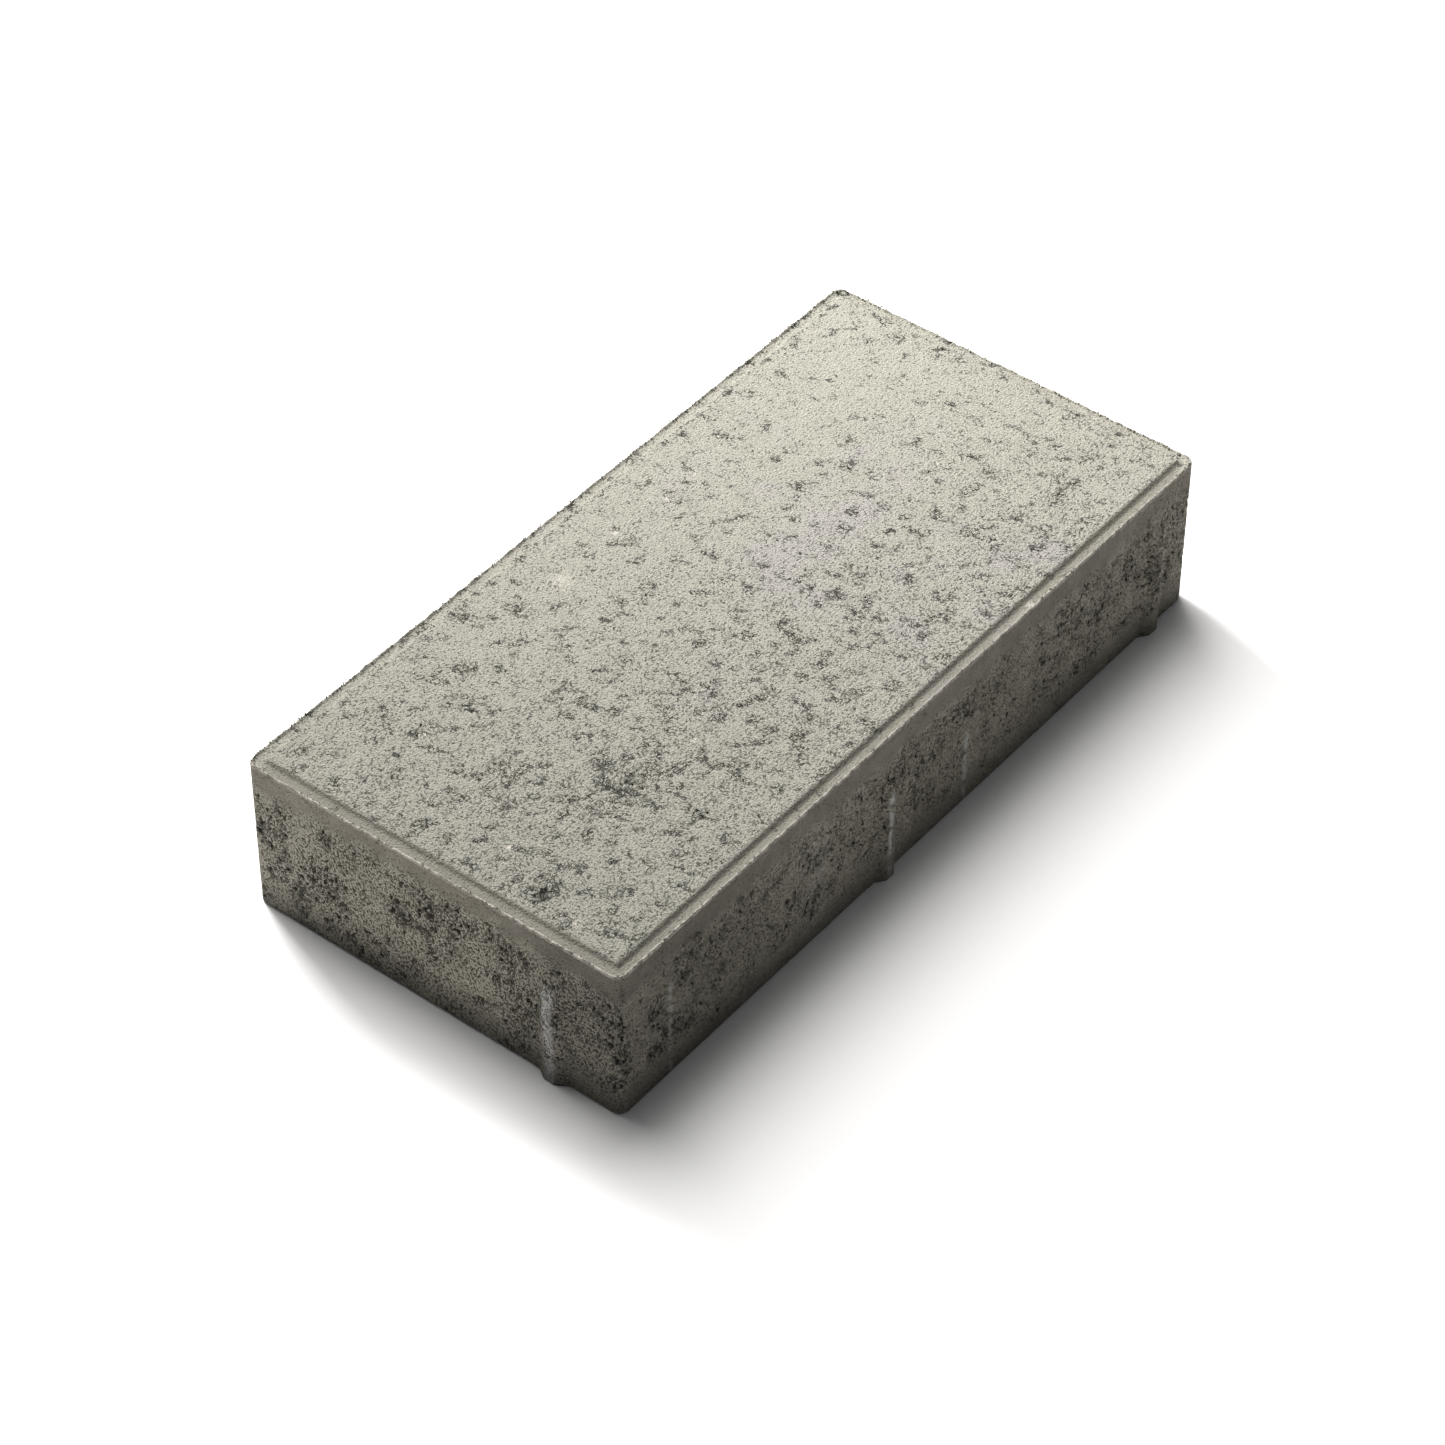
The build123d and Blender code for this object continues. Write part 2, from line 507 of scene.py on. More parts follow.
def makeFaceShell(cut):
    xs, ys = cutLines(halfLength, cut), cutLines(halfWidth, cut)
    nx, ny = len(xs), len(ys)
    x, y = (grid.ravel() for grid in np.meshgrid(xs, ys))
    x, y = roundCorners(x, y, halfLength, halfWidth, cut["cornerRadius"])
    inward = inFromSide(x, y, cut["cornerRadius"])
    steps = np.array([step for step, _ in cut["rim"]]) * mm
    drops = np.array([drop for _, drop in cut["rim"]]) * mm
    z = blockTop - np.interp(inward, steps, drops)
    layers = [np.stack([x, y, z], axis=1)]
    faces = gridFaces(nx, ny)
    ring = ringOf(nx, ny)
    ringX, ringY = x[ring], y[ring]
    bond = bondHeight(ringY)
    ringTop = z[ring]
    levels = int(round((ringTop[0] - bondAtSides) / cut["wallPitch"]))
    upper = ring
    first = nx * ny
    heights = [ringTop + (bond - ringTop) * level / levels for level in range(1, levels)]
    heights += [bond + cut["bondRow"], bond]
    for height in heights:
        layers.append(np.stack([ringX, ringY, height], axis=1))
        lower = first + np.arange(len(ring))
        faces += ringFaces(upper, lower)
        upper, first = lower, first + len(ring)
    layers.append(np.array([[0, 0, bondInMiddle]]))
    faces += fanFaces(upper, first, up=False)
    return makeObject("face_layer_cast", np.concatenate(layers), faces)


def makeCoreShell(cut):
    xs, ys = cutLines(halfLength, cut), cutLines(halfWidth, cut)
    nx, ny = len(xs), len(ys)
    gridX, gridY = (grid.ravel() for grid in np.meshgrid(xs, ys))
    gridX, gridY = roundCorners(gridX, gridY, halfLength, halfWidth, cut["cornerRadius"])
    ring = ringOf(nx, ny)
    ringX, ringY = gridX[ring], gridY[ring]
    outX, outY = outwardOf(ringX, ringY, cut["cornerRadius"])
    bond = bondHeight(ringY)
    edge = np.array(cut["bedEdge"]) * mm
    wallFoot = edge[0][0]
    count = len(ring)
    layers, faces = [np.array([[0, 0, bondInMiddle]])], []
    levels = int(round((bondAtSides - wallFoot) / cut["wallPitch"]))
    heights = [bond, bond - cut["bondRow"]]
    heights += [bond + (wallFoot - bond) * level / levels for level in range(1, levels + 1)]
    insets = [0.0] * len(heights)
    heights += [np.full(count, height) for height, _ in edge[1:]]
    insets += [inset for _, inset in edge[1:]]
    upper = None
    for number, (height, inset) in enumerate(zip(heights, insets)):
        layers.append(np.stack([ringX - outX * inset, ringY - outY * inset, height], axis=1))
        lower = 1 + number * count + np.arange(count)
        faces += fanFaces(lower, 0, up=True) if upper is None else ringFaces(upper, lower)
        upper = lower
    # the bed is cut half as finely, with a ring of triangles between
    bedX, bedY = xs[::2], ys[::2]
    bx, by = (grid.ravel() for grid in np.meshgrid(bedX, bedY))
    bx, by = roundCorners(bx, by, halfLength, halfWidth, cut["cornerRadius"])
    bx = bx * (halfLength - cut["bedInset"]) / halfLength
    by = by * (halfWidth - cut["bedInset"]) / halfWidth
    first = 1 + len(heights) * count
    layers.append(np.stack([bx, by, np.zeros_like(bx)], axis=1))
    faces += gridFaces(len(bedX), len(bedY), first, up=False)
    bedRing = first + ringOf(len(bedX), len(bedY))
    for k in range(len(bedRing)):
        near, mid, far = upper[2 * k], upper[2 * k + 1], upper[(2 * k + 2) % count]
        here, there = bedRing[k], bedRing[(k + 1) % len(bedRing)]
        faces += [[mid, near, here], [there, mid, here], [far, mid, there]]
    return makeObject("core_block_cast", np.concatenate(layers), faces)


# Torn spots on the wearing face: place and reach in millimetres, and strength
tornSpots = (
    (-89, -21.5, 3.6, 0.34), (-57, -15.5, 5.0, 0.30), (-53.5, -11.5, 3.0, 0.26), (-66.6, -10.9, 2.4, 0.18),
    (-51.6, 30, 2.6, 0.28), (-28.8, 34.5, 2.6, 0.26), (-39, 42.5, 2.8, 0.26), (-72, 26, 2.2, 0.24),
    (1.3, 30, 2.0, 0.30), (17.5, 30, 2.0, 0.30), (40.9, 34.8, 2.6, 0.32), (35.9, 42.5, 2.6, 0.22),
    (87, 31, 2.2, 0.28), (92.8, 16, 2.6, 0.22), (0.3, -14, 2.2, 0.24), (15.3, -14, 2.4, 0.24),
    (22.8, -14.6, 3.0, 0.20), (-26.6, -15.9, 2.6, 0.22), (59, -30, 2.4, 0.26), (72, -31.5, 3.0, 0.24),
    (-18.5, -32, 2.2, 0.24), (-89, -38.4, 2.6, 0.18), (78, -20, 3.4, 0.14), (-35, -29, 2.4, 0.16),
    (48, 10, 3.4, 0.14), (-75, 2, 3.2, 0.12),
)

# Pale spots of laitance and bare grains, in the same way
paleSpots = (
    (-17.9, 33.1, 2.2, 0.8), (16.8, 32.3, 0.6, 2.5), (1.3, 34.2, 0.5, 2.5), (26.7, 33.2, 0.5, 2.0),
    (-70.7, 25.0, 0.5, 2.2), (-47.5, 23.8, 0.5, 2.0), (-84.5, -9.0, 0.5, 2.0), (-92.0, -32.0, 1.0, 0.9),
    (38.4, -47.4, 1.0, 0.9), (62.0, -6.0, 0.5, 2.0), (31.0, -22.0, 0.5, 2.0), (-38.0, -18.5, 0.5, 2.0),
)


def soften(value, low, high):
    share = np.clip((value - low) / (high - low), 0, 1)
    return share * share * (3 - 2 * share)


def spotPull(x, y, spots):
    pull = np.zeros_like(x)
    for spotX, spotY, reach, strength in spots:
        away = ((x - spotX * mm) ** 2 + (y - spotY * mm) ** 2) / (reach * mm) ** 2
        pull = np.maximum(pull, strength * np.exp(-away))
    return pull


def setAttribute(mesh, name, values):
    layer = mesh.attributes.new(name, "FLOAT", "POINT")
    layer.data.foreach_set("value", values.astype(np.float32))


# Rub marks: the side (its outward direction), place along it, width and top in millimetres, and
# strength
rubMarks = (
    ((0, -1), -12.3, 0.6, 25.5, 1.8),
    ((0, -1), -83.0, 0.6, 27.0, 1.0),
    ((0, -1), 15.6, 0.7, 21.0, 1.0),
    ((0, -1), 88.0, 0.6, 27.0, 0.7),
    ((0, -1), -35.5, 4.5, 36.0, 0.16),
    ((-1, 0), -31.0, 1.3, 27.7, 1.9),
    ((0, 1), 12.0, 0.9, 25.0, 0.8),
    ((0, 1), -84.5, 1.0, 26.0, 0.5),
    ((0, 1), 81.0, 0.7, 25.0, 0.5),
    ((0, 1), -15.0, 0.8, 22.0, 0.4),
    ((1, 0), 31.0, 1.2, 26.0, 0.8),
)

# Painted light and shade on each side beside the wearing face: how light it is in its middle, at the end
# next to the front left corner, and at its foot. The darker corner end and foot, and the darker back and
# right, are painted shade
paintedSideShading = {
    "front": (0.86, 0.64, 0.5),
    "left": (1.08, 0.66, 0.45),
    "back": (0.72, 0.72, 0.7),
    "right": (0.72, 0.72, 0.7),
}
paintedShadingRule = {
    # painted shade on the ledge
    "ledge": 0.78,
    # painted light: the wearing face is painted paler toward the right end
    "endToEnd": 0.17,  # the wearing face pales toward the right end
    "sideSeam": 1.5 * mm,
    # the front and the left end are painted in shade toward the front left corner
    "frontCorner": (-75 * mm, -35 * mm),  # the dark end of the front, along X
    "leftCorner": (-38 * mm, -12 * mm),   # and of the left end, along Y
    # the foot is painted in shade up to this height
    "foot": (1.0 * mm, 12.0 * mm),
}


# Painted light and shade: the sides darker toward the front left corner and at the foot, the back and right
# darker, the ledge darker, and the wearing face paler toward the right end
def paintedShadingOf(x, y, z, wall, ledge):
    seam = paintedShadingRule["sideSeam"]
    onLong = soften(np.abs(y) - np.abs(x) + halfLength - halfWidth, -seam, seam)
    shares = {"front": onLong * (y < 0), "left": (1 - onLong) * (x < 0),
              "back": onLong * (y >= 0), "right": (1 - onLong) * (x >= 0)}
    nearCorner = {"front": 1 - soften(x, *paintedShadingRule["frontCorner"]),
                  "left": 1 - soften(y, *paintedShadingRule["leftCorner"]), "back": 0.0, "right": 0.0}
    foot = 1 - soften(z, *paintedShadingRule["foot"])
    tone = np.zeros_like(x)
    for side, (middle, corner, footTone) in paintedSideShading.items():
        sideTone = middle + (corner - middle) * nearCorner[side]
        tone += shares[side] * sideTone * (1 + (footTone - 1) * foot)
    flat = (1 + (paintedShadingRule["ledge"] - 1) * ledge) * (1 + paintedShadingRule["endToEnd"] * x / halfLength)
    return flat + (tone - flat) * wall


# Where the skin changes: how far in from the side, down from the top, up from the bed, or along
# the block
skinZones = {
    "wallEdge": 0.16 * mm,              # the sides' skin ends this far in over the arris
    "top": (2.0 * mm, 1.2 * mm),
    "ledge": (2.6 * mm, 3.6 * mm),
    "facing": (-4.5 * mm, 2.5 * mm),    # the facing's look fades in over this height about the bond
    "foot": (3.0 * mm, 10.0 * mm),
    "frontSide": (26 * mm, 6 * mm),     # near the front, the foot is fully calm
    "farSlant": (0.55, 1.1),            # the wearing face grows calm toward the back right,
    "farSide": (-45 * mm, 75 * mm),     # along this slant
    "farLedge": (-6 * mm, -3 * mm),
    "arrisTop": (1.2 * mm, 0.8 * mm),
    "arris": (0.3 * mm, 0.6 * mm),
    "palest": (4 * mm, 12 * mm),
    "bloomPlace": (24 * mm, -10 * mm),  # the second paste gathers about here
    "bloomReach": 50 * mm,
    "rubEdge": (1.0 * mm, 0.5 * mm),
    "rubFade": 2.5,                     # millimetres below the top of a rub mark
}
calmShares = {
    "facing": 0.75, "foot": 0.75, "footElsewhere": 0.3, "ledge": 0.6, "farLedge": 0.4, "farSide": 0.4,
}
burrFade = 0.35     # the share of its paleness that the burr loses along the far sides
farLedgeBand = 0.8  # and the share of its brown that the ledge loses there


def wallShare(inward):
    return 1 - soften(inward, 0.0, skinZones["wallEdge"])


def calmOf(x, y, z, wall, ledge, facing, farLedge):
    zones, share = skinZones, calmShares
    foot = 1 - soften(z, *zones["foot"])
    behind, before = zones["frontSide"]
    frontSide = soften(-y, halfWidth - behind, halfWidth - before)
    footShare = share["footElsewhere"] + (1 - share["footElsewhere"]) * frontSide
    calmWall = np.maximum(share["facing"] * facing, share["foot"] * foot * footShare)
    slantX, slantY = zones["farSlant"]
    farSide = soften(slantX * x + slantY * y, *zones["farSide"])
    calmLedge = ledge * (share["ledge"] - share["farLedge"] * farLedge)
    calm = np.maximum(calmLedge, share["farSide"] * farSide * (1 - wall) * (1 - farLedge))
    return np.maximum(calm, wall * calmWall)


def rubOf(x, y, z):
    rub = np.zeros_like(x)
    for (outX, outY), along, width, highest, strength in rubMarks:
        run = x if outX == 0 else y
        side = halfWidth if outX == 0 else halfLength
        before, past = skinZones["rubEdge"]
        onSide = soften(x * outX + y * outY, side - before, side - past)
        across = np.exp(-((run - along * mm) / (width * mm)) ** 2)
        up = 1 - soften(z, (highest - skinZones["rubFade"]) * mm, highest * mm)
        rub = np.maximum(rub, strength * across * up * onSide)
    return rub


def bloomOf(x, y):
    middleX, middleY = skinZones["bloomPlace"]
    return np.exp(-((x - middleX) ** 2 + (y - middleY) ** 2) / skinZones["bloomReach"] ** 2)


def downFromTop(z, zone):
    deep, shallow = skinZones[zone]
    return soften(z, blockTop - deep, blockTop - shallow)


def markShell(shell, cut):
    # writes on each point what its concrete is like there
    mesh = shell.data
    points = np.empty(len(mesh.vertices) * 3)
    mesh.vertices.foreach_get("co", points)
    x, y, z = points.reshape(-1, 3).T
    inward = inFromSide(x, y, cut["cornerRadius"])
    wall = wallShare(inward)
    top = downFromTop(z, "top")
    ledge = top * (1 - soften(inward, *skinZones["ledge"]))
    facing = soften(z - bondHeight(y), *skinZones["facing"])
    farLedge = soften(np.maximum(x - halfLength, y - halfWidth), *skinZones["farLedge"])
    arris = downFromTop(z, "arrisTop") * (1 - soften(inward, *skinZones["arris"]))
    # the burr is painted pale, partly for the pale paste of its flash and partly as a painted highlight
    # where it stands up into the light, palest along the front and the left end
    fromCorner = np.minimum(x + halfLength, y + halfWidth)
    pale = arris * (1 - burrFade * soften(fromCorner, *skinZones["palest"]))
    marked = {
        # tone: painted light and shade
        "tone": paintedShadingOf(x, y, z, wall, ledge * (1 - farLedge)),
        "bloom": bloomOf(x, y),
        "wall": wall,
        "marks": spotPull(x, y, tornSpots) * (1 - wall) * top,
        "calm": calmOf(x, y, z, wall, ledge, facing, farLedge),
        "facing": facing,
        "rub": rubOf(x, y, z),
        "arris": arris,
        "pale": np.maximum(pale, spotPull(x, y, paleSpots) * (1 - wall) * top),
        "ledge": ledge * (1 - farLedgeBand * farLedge),
    }
    for name, values in marked.items():
        setAttribute(mesh, name, values)


# Colours of the paste, the near black painted into its pits as their shadow and into its specks partly as
# shadow and partly as dirt, how far the tone wanders, and the fine relief in millimetres
skinTones = {
    "wearing": {
        "Paste": (0.322, 0.318, 0.272), "Second Paste": (0.325, 0.313, 0.288),
        "Pit Shadow And Dirt": (0.035, 0.033, 0.026), "Pit Shadow Share": 0.9, "Speck Share": 0.42,
        "Mottle": 0.1, "Grain": 1.3, "Grain Size": 0.45 * mm, "Grain Height": 0.6,
        "Pore Depth": 2.0, "Speck Depth": 0.7,
    },
    "band": {
        "Paste": (0.245, 0.227, 0.185), "Second Paste": (0.225, 0.211, 0.175),
        "Pit Shadow And Dirt": (0.05, 0.045, 0.035), "Pit Shadow Share": 0.6, "Speck Share": 0.4,
        "Mottle": 0.5, "Grain": 1.4, "Grain Size": 0.6 * mm, "Grain Height": 0.4,
        "Pore Depth": 0.4, "Speck Depth": 0.3,
    },
    "wall": {
        "Paste": (0.34, 0.32, 0.26), "Second Paste": (0.285, 0.262, 0.21),
        "Pit Shadow And Dirt": (0.022, 0.02, 0.014), "Pit Shadow Share": 0.95, "Speck Share": 0.88,
        "Mottle": 0.5, "Grain": 1.9, "Grain Size": 0.45 * mm, "Grain Height": 0.5,
        "Pore Depth": 1.0, "Speck Depth": 0.6,
    },
}
colorSockets = ("Paste", "Second Paste", "Pit Shadow And Dirt")
skinPattern = {
    "patchSize": 15 * mm,       # the second paste lies in patches of about this size,
    "bloomPull": 0.24,          # more of them where it gathers,
    "patch": (0.62, 0.84),      # and they open between these levels
    "mottleSize": 5.5 * mm,
    "roughness": (0.82, 0.96),  # of a grain's foot and of its head
    "grainSwing": 0.3,
}


def makeSkinGroup():
    group = bpy.data.node_groups.new("castSkin", "ShaderNodeTree")
    grey = (0.3, 0.3, 0.3, 1)
    inputs = {"Place": ("NodeSocketVector", None), **floatSockets({"Marks": 0.0, "Calm": 0.0, "Bloom": 0.0})}
    inputs.update({name: ("NodeSocketColor", grey) for name in colorSockets})
    inputs.update(floatSockets({name: tone for name, tone in skinTones["wearing"].items()
                                if name not in colorSockets}))
    inputs.update(poreSockets(wearingPores))
    nameSockets(group, inputs, {"Color": "NodeSocketColor", "Roughness": "NodeSocketFloat",
                                "Height": "NodeSocketFloat"})
    given = addNode(group, "NodeGroupInput").outputs
    place = given["Place"]
    pores = {name: given[name] for name in wearingPores}
    torn, specks = poreField(group, place, given["Marks"], given["Calm"], pores)

    cloud = noiseOf(group, place, skinPattern["patchSize"], 4.0, 0.62)
    gathered = reckon(group, "MULTIPLY", given["Bloom"], skinPattern["bloomPull"])
    patch = ramp(group, reckon(group, "ADD", cloud, gathered), *skinPattern["patch"])
    paste = blendColor(group, patch, given["Paste"], given["Second Paste"])
    mottle = swingOf(group, place, skinPattern["mottleSize"], 4.0, 0.6)
    grain = swingOf(group, place, given["Grain Size"], 3.0, 0.6)
    shade = reckon(group, "ADD", 1.0, reckon(group, "MULTIPLY", mottle, given["Mottle"]))
    shade = reckon(group, "ADD", shade, reckon(group, "MULTIPLY", grain, given["Grain"]))
    # the pits are painted dark as their shadow, and the specks partly as shadow and partly as dirt
    pitShare = reckon(group, "MULTIPLY", torn, given["Pit Shadow Share"])
    pitShare = reckon(group, "MAXIMUM", pitShare, reckon(group, "MULTIPLY", specks, given["Speck Share"]))
    color = blendColor(group, pitShare, scaled(group, paste, shade), given["Pit Shadow And Dirt"])

    swing = skinPattern["grainSwing"]
    rough = ramp(group, grain, -swing, swing, *skinPattern["roughness"])
    sunk = sinkOf(group, torn, specks, given["Pore Depth"], given["Speck Depth"])
    height = reckon(group, "SUBTRACT", reckon(group, "MULTIPLY", grain, given["Grain Height"]), sunk)
    addNode(group, "NodeGroupOutput", {"Color": color, "Roughness": rough, "Height": height})
    return group


def useSkin(tree, group, tones, pores, readings):
    made = tree.nodes.new("ShaderNodeGroup")
    made.node_tree = group
    for name, value in {**readings, **tones, **pores}.items():
        feed(tree, made.inputs[name], (*value, 1) if name in colorSockets else value)
    return made.outputs


def attributeOf(tree, name, output="Fac"):
    return addNode(tree, "ShaderNodeAttribute", attribute_name=name).outputs[output]


sideLook = {
    "edgeSize": 5.0 * mm,           # the facing's brown ends in lumps of this size,
    "edgeWander": 2.2,              # this ragged,
    "edge": (0.1, 0.9),             # between these levels
    "ledgeBand": 0.45,              # the ledge takes this share of it
    "rubSize": 2.2 * mm,
    "rubbed": (0.40, 0.56),
    "rubColor": (0.62, 0.61, 0.58, 1),
    "burrSize": 1.6 * mm,
    "burr": (0.38, 0.56, 0.15, 0.95),  # levels, and the share of pale burr at each
    "burrColor": (0.50, 0.465, 0.415, 1),
    "specular": 0.3,
}


def makeConcrete(name, skinGroup, isFacing):
    material = bpy.data.materials.new(name)
    material.use_nodes = True
    tree = material.node_tree
    shader = tree.nodes["Principled BSDF"]
    place = attributeOf(tree, "castPlace", "Vector")
    labels = ("wall", "facing", "rub", "pale", "ledge", "tone")
    wall, facing, rub, pale, ledge, tone = (attributeOf(tree, label) for label in labels)
    readings = {"Place": place, "Marks": attributeOf(tree, "marks"), "Calm": attributeOf(tree, "calm"),
                "Bloom": attributeOf(tree, "bloom")}
    band = useSkin(tree, skinGroup, skinTones["band"], wallPores, readings)
    side = useSkin(tree, skinGroup, skinTones["wall"], wallPores, readings)
    flat = useSkin(tree, skinGroup, skinTones["wearing" if isFacing else "wall"],
                   wearingPores if isFacing else wallPores, readings)

    # the sides: facing over backing, with the streaks of neighbouring blocks
    edge = swingOf(tree, place, sideLook["edgeSize"], 4.0, 0.65)
    edge = reckon(tree, "ADD", facing, reckon(tree, "MULTIPLY", edge, sideLook["edgeWander"]))
    sideColor = blendColor(tree, ramp(tree, edge, *sideLook["edge"]), side["Color"], band["Color"])
    blotch = ramp(tree, noiseOf(tree, place, sideLook["rubSize"], 4.0, 0.65), *sideLook["rubbed"])
    worn = reckon(tree, "MULTIPLY", rub, blotch, clamp=True)
    sideColor = blendColor(tree, worn, sideColor, sideLook["rubColor"])

    # the top: the ledge is browner, and the burr is pale in broken pieces, partly its pale paste and partly
    # a painted highlight
    browner = reckon(tree, "MULTIPLY", ledge, sideLook["ledgeBand"])
    ledgeColor = blendColor(tree, browner, flat["Color"], band["Color"])
    # tone multiplies painted light and shade into the colour
    color = scaled(tree, blendColor(tree, wall, ledgeColor, sideColor), tone)
    broken = ramp(tree, noiseOf(tree, place, sideLook["burrSize"], 3.0, 0.65), *sideLook["burr"])
    color = blendColor(tree, reckon(tree, "MULTIPLY", pale, broken), color, sideLook["burrColor"])

    height = blend(tree, wall, flat["Height"], side["Height"])
    bump = addNode(tree, "ShaderNodeBump", {"Height": height, "Strength": 1.0, "Distance": 1.0 * mm})
    tree.links.new(color, shader.inputs["Base Color"])
    tree.links.new(flat["Roughness"], shader.inputs["Roughness"])
    tree.links.new(bump.outputs[0], shader.inputs["Normal"])
    shader.inputs["Specular IOR Level"].default_value = sideLook["specular"]
    return material


skinGroup = makeSkinGroup()
facingConcrete = makeConcrete("facingConcrete", skinGroup, True)
backingConcrete = makeConcrete("backingConcrete", skinGroup, False)
reliefTree = makeReliefTree()
print("finishes ready")

# the two main casts
faceCast = makeFaceShell(shellCut)
markShell(faceCast, shellCut)
bakeTree(faceCast, reliefTree, {"Concrete": facingConcrete})
print("facing cast:", len(faceCast.data.polygons), "faces")

coreCast = makeCoreShell(shellCut)
markShell(coreCast, shellCut)
bakeTree(coreCast, reliefTree, {"Concrete": backingConcrete})
print("backing cast:", len(coreCast.data.polygons), "faces")

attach(faceCast, "root")
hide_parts("face_layer")
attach(coreCast, "root")
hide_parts("core_block")

# The spacer lugs: the way each one faces, in degrees about Z, and how far its crest leans off
# centre. A lug is a rib stood against the side and given the same relief.
lugPlaces = {
    "spacer_lug_front_mid": (-90, 0.9 * mm),
    "spacer_lug_front_right": (-90, -0.5 * mm),
    "spacer_lug_back_mid": (90, 0.6 * mm),
    "spacer_lug_back_left": (90, -0.4 * mm),
    "spacer_lug_left_end": (180, 0.2 * mm),
    "spacer_lug_right_end": (0, -0.3 * mm),
}
lugShape = {
    "Foot": 9.0 * mm,
    "Land": 1.9 * mm,
    "Full Height": 24.0 * mm,
    "Sunk": 0.12 * mm,
    "Thickness": 1.6 * mm,
    "Cut": 0.36 * mm,
}
frontFrom = 0.4  # the rib's front begins to swell at this share of its thickness
weldGap = 0.002 * mm


def makeLugTree():
    inputs = floatSockets({**lugShape, "Reach": 0.0, "Top": 0.0, "Lean": 0.0, "Turn": 0.0})
    inputs["Root"] = ("NodeSocketVector", None)
    tree, given = startTree("spacerRib", inputs)
    acrossCuts = reckon(tree, "CEIL", reckon(tree, "DIVIDE", given["Foot"], given["Cut"]))
    upCuts = reckon(tree, "CEIL", reckon(tree, "DIVIDE", given["Top"], given["Cut"]))
    grid = addNode(tree, "GeometryNodeMeshGrid",
                   {"Size X": given["Foot"], "Size Y": given["Top"],
                    "Vertices X": acrossCuts, "Vertices Y": upCuts}).outputs["Mesh"]
    back = addNode(tree, "GeometryNodeFlipFaces", {0: grid}).outputs[0]
    push = upward(tree, given["Thickness"])
    thick = addNode(tree, "GeometryNodeExtrudeMesh", {"Mesh": grid, "Offset": push, "Offset Scale": 1.0,
                                                      "Individual": False}, mode="FACES").outputs
    both = addNode(tree, "GeometryNodeJoinGeometry").inputs[0]
    tree.links.new(thick["Mesh"], both)
    tree.links.new(back, both)
    closed = addNode(tree, "GeometryNodeMergeByDistance",
                     {"Geometry": both.node.outputs[0], "Distance": weldGap}).outputs[0]

    # the front face swells to the reach between its feet, and fades out above its full height
    place = addNode(tree, "GeometryNodeInputPosition").outputs[0]
    part = addNode(tree, "ShaderNodeSeparateXYZ", {0: place}).outputs
    frontFoot = reckon(tree, "MULTIPLY", given["Thickness"], frontFrom)
    front = ramp(tree, part["Z"], frontFoot, given["Thickness"])
    halfTop = reckon(tree, "MULTIPLY", given["Top"], 0.5)
    high = reckon(tree, "ADD", part["Y"], halfTop)
    off = reckon(tree, "ABSOLUTE", reckon(tree, "SUBTRACT", part["X"], given["Lean"]))
    halfLand = reckon(tree, "MULTIPLY", given["Land"], 0.5)
    halfFoot = reckon(tree, "SUBTRACT", reckon(tree, "MULTIPLY", given["Foot"], 0.5),
                      reckon(tree, "ABSOLUTE", given["Lean"]))
    rib = ramp(tree, off, halfLand, halfFoot, 1.0, 0.0)
    fade = ramp(tree, high, given["Full Height"], given["Top"], 1.0, 0.0)
    stand = reckon(tree, "MULTIPLY", reckon(tree, "MULTIPLY", rib, fade), given["Reach"])
    out = reckon(tree, "SUBTRACT", reckon(tree, "MULTIPLY", stand, front), given["Sunk"])
    shift = upward(tree, reckon(tree, "SUBTRACT", out, given["Thickness"]))
    shaped = addNode(tree, "GeometryNodeSetPosition", {"Geometry": closed, "Offset": shift}).outputs[0]

    # lying grid to standing rib: up becomes Z and the front looks outward
    lifted = addNode(tree, "ShaderNodeCombineXYZ", {"Y": halfTop}).outputs[0]
    raised = addNode(tree, "GeometryNodeTransform", {"Geometry": shaped, "Translation": lifted}).outputs[0]
    stood = addNode(tree, "GeometryNodeTransform",
                    {"Geometry": raised, "Rotation": (math.pi / 2, 0, math.pi / 2)}).outputs[0]
    placed = addNode(tree, "GeometryNodeTransform",
                     {"Geometry": stood, "Rotation": upward(tree, given["Turn"]),
                      "Translation": given["Root"]}).outputs[0]
    endTree(tree, placed, given["Concrete"], smooth=True)
    return tree


def makeLug(node, lugTree, shape):
    turn, lean = lugPlaces[node]
    low, high = (Vector(corner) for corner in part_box(node))
    outward = Vector((round(math.cos(math.radians(turn))), round(math.sin(math.radians(turn))), 0))
    middle = (low + high) / 2
    reach = abs((high - low).dot(outward))
    root = Vector((middle.x, middle.y, 0)) - outward * reach / 2
    lug = makeSeed(node + "_cast")
    bakeTree(lug, lugTree, {"Reach": reach + shape["Sunk"], "Top": high.z, "Lean": lean,
                            "Turn": math.radians(turn), "Root": root, "Concrete": backingConcrete, **shape})
    markShell(lug, shellCut)
    bakeTree(lug, reliefTree, {"Concrete": backingConcrete})
    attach(lug, "root")
    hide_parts(node)


lugTree = makeLugTree()
for node in lugPlaces:
    makeLug(node, lugTree, lugShape)
print("six lugs cast")


# Loose grains are instanced on points and turned any way round, and stretched between two girths
fullTurn = 6.28


def randomVector(tree, low, high, seed):
    feeds = {0: low, 1: high, "Seed": seed}
    return addNode(tree, "FunctionNodeRandomValue", feeds, data_type="FLOAT_VECTOR").outputs[0]


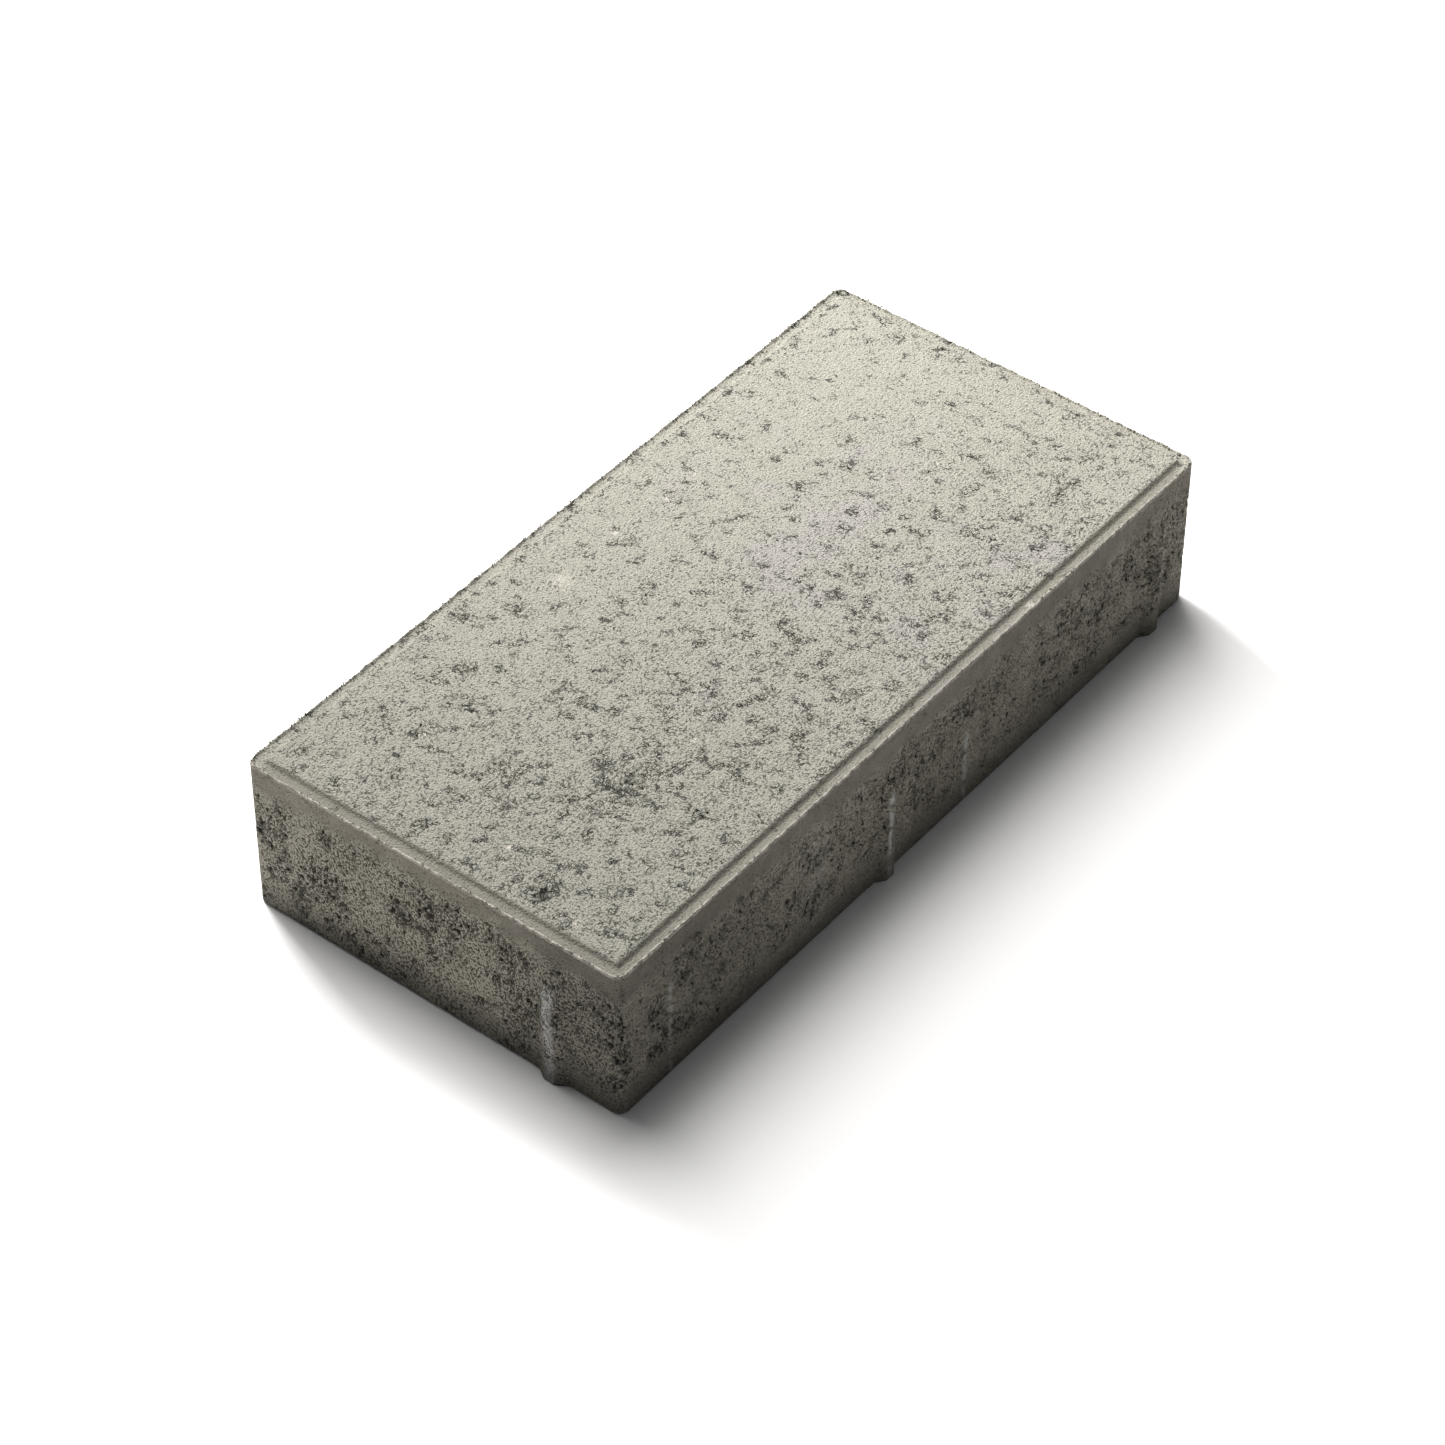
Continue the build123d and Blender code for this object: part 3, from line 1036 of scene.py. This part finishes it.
def scatterGrains(tree, points, patchSize, keptAbove, grainSize, girths, seeds):
    # puts a turned and stretched grain on each point that lies in a patch
    place = addNode(tree, "GeometryNodeInputPosition").outputs[0]
    patchy = reckon(tree, "GREATER_THAN", noiseOf(tree, place, patchSize, 3.0, 0.6), keptAbove)
    grain = addNode(tree, "GeometryNodeMeshIcoSphere", {"Radius": grainSize, "Subdivisions": 1}).outputs[0]
    turn = randomVector(tree, (0, 0, 0), (fullTurn, fullTurn, fullTurn), seeds[0])
    girth = randomVector(tree, *girths, seeds[1])
    return addNode(tree, "GeometryNodeInstanceOnPoints",
                   {"Points": points, "Instance": grain, "Selection": patchy, "Rotation": turn,
                    "Scale": girth}).outputs[0]


def moveGrains(tree, grains, offset):
    return addNode(tree, "GeometryNodeTranslateInstances",
                   {"Instances": grains, "Translation": offset, "Local Space": False}).outputs[0]


# Crumbs left along the burr, where the mould box and the tamper meet
crumbSizes = {
    "Length": 2 * (halfLength - 0.3 * mm),
    "Width": 2 * (halfWidth - 0.3 * mm),
    "Corner": 2.8 * mm,
    "Height": blockTop - 0.62 * mm,
    "Spacing": 0.75 * mm,
    "Crumb Size": 0.30 * mm,
    "Wander": 0.55 * mm,
    "Patch Size": 6.0 * mm,
    "Kept Above": 0.47,
}
crumbGirths = ((0.35, 0.35, 0.3), (1.5, 1.1, 0.9))
cornerSteps = 5


def makeCrumbTree():
    tree, given = startTree("burrCrumbs", floatSockets(crumbSizes))
    path = addNode(tree, "GeometryNodeCurvePrimitiveQuadrilateral",
                   {"Width": given["Length"], "Height": given["Width"]}).outputs[0]
    path = addNode(tree, "GeometryNodeFilletCurve",
                   {"Curve": path, "Count": cornerSteps, "Radius": given["Corner"]}, mode="POLY").outputs[0]
    path = addNode(tree, "GeometryNodeResampleCurve", {"Curve": path, "Length": given["Spacing"]},
                   mode="LENGTH").outputs[0]
    crumbs = scatterGrains(tree, path, given["Patch Size"], given["Kept Above"], given["Crumb Size"],
                           crumbGirths, seeds=(3, 4))
    shift = randomVector(tree, (-1, -1, -0.5), (1, 1, 0.5), 5)
    shift = scaled(tree, shift, reckon(tree, "MULTIPLY", given["Wander"], 0.5))
    placed = moveGrains(tree, crumbs, steer(tree, "ADD", shift, upward(tree, given["Height"])))
    endTree(tree, placed, given["Concrete"])
    return tree


# no relief of its own on a piece as small as a grain
evenRelief = {name: 0.0 for name in reliefSizes if name.endswith(("Depth", "Height", "Wander"))}

crumbs = makeSeed("burr_crumbs")
bakeTree(crumbs, makeCrumbTree(), {"Concrete": facingConcrete, **crumbSizes})
markShell(crumbs, shellCut)
bakeTree(crumbs, reliefTree, {"Concrete": facingConcrete, **evenRelief})
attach(crumbs, "root")
print("crumbs along the burr:", len(crumbs.data.polygons), "faces")


# Proud sand grains on the wearing face
sandSizes = {
    "Length": 2 * (halfLength - 4.5 * mm),
    "Width": 2 * (halfWidth - 4.5 * mm),
    "Height": blockTop - 0.14 * mm,
    "Density": 190000.0,
    "Grain Size": 0.24 * mm,
    "Cluster Size": 7.0 * mm,
    "Kept Above": 0.47,
}
sandGirths = ((0.5, 0.5, 0.4), (1.6, 1.2, 0.9))
sheetPoints = (12, 6)


def makeSandTree():
    tree, given = startTree("proudSand", floatSockets(sandSizes))
    sheet = addNode(tree, "GeometryNodeMeshGrid",
                    {"Size X": given["Length"], "Size Y": given["Width"],
                     "Vertices X": sheetPoints[0], "Vertices Y": sheetPoints[1]}).outputs["Mesh"]
    points = addNode(tree, "GeometryNodeDistributePointsOnFaces",
                     {"Mesh": sheet, "Density": given["Density"], "Seed": 7}).outputs[0]
    grains = scatterGrains(tree, points, given["Cluster Size"], given["Kept Above"], given["Grain Size"],
                           sandGirths, seeds=(8, 9))
    placed = moveGrains(tree, grains, upward(tree, given["Height"]))
    endTree(tree, placed, given["Concrete"])
    return tree


sand = makeSeed("proud_sand")
bakeTree(sand, makeSandTree(), {"Concrete": facingConcrete, **sandSizes})
markShell(sand, shellCut)
bakeTree(sand, reliefTree, {"Concrete": facingConcrete, **evenRelief})
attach(sand, "root")
print("sand grains:", len(sand.data.polygons), "faces")
